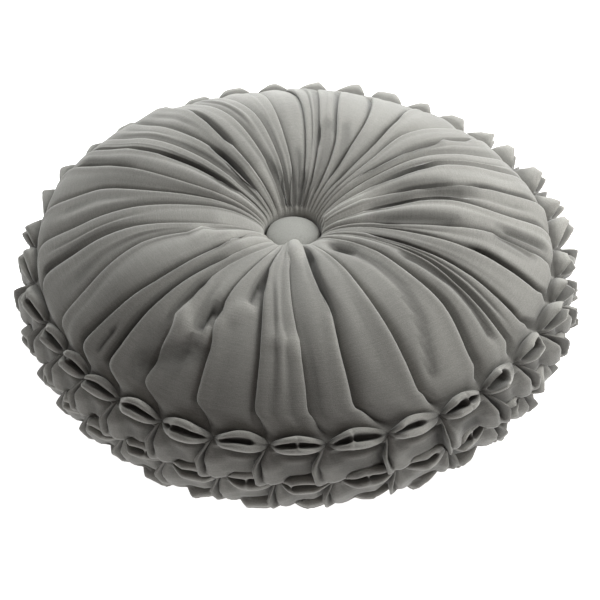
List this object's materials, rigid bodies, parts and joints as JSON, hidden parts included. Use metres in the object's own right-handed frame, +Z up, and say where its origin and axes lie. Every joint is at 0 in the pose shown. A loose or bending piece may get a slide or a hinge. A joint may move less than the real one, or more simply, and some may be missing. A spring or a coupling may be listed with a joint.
{
  "type": "round cushion",
  "caption": "Round velvet cushion with pleated faces gathered to covered buttons and a smocked side wall of knots and folded pockets.",
  "frame": {"origin": "centre of the cushion's plan, at the floor that its back face lies on", "axes": "+Z up through both buttons, out of the front face; -Y towards the side the picture shows in front"},
  "size_m": [0.4098, 0.41, 0.1273],
  "materials": {
    "velvet": "grey cotton velvet with a short pile, matt with a soft sheen at folds",
    "button_velvet": "the same grey velvet stretched over a button"
  },
  "bodies": {
    "root": {"cover": "velvet", "front_button": "button_velvet", "back_button": "button_velvet"}
  },
  "joints": []
}
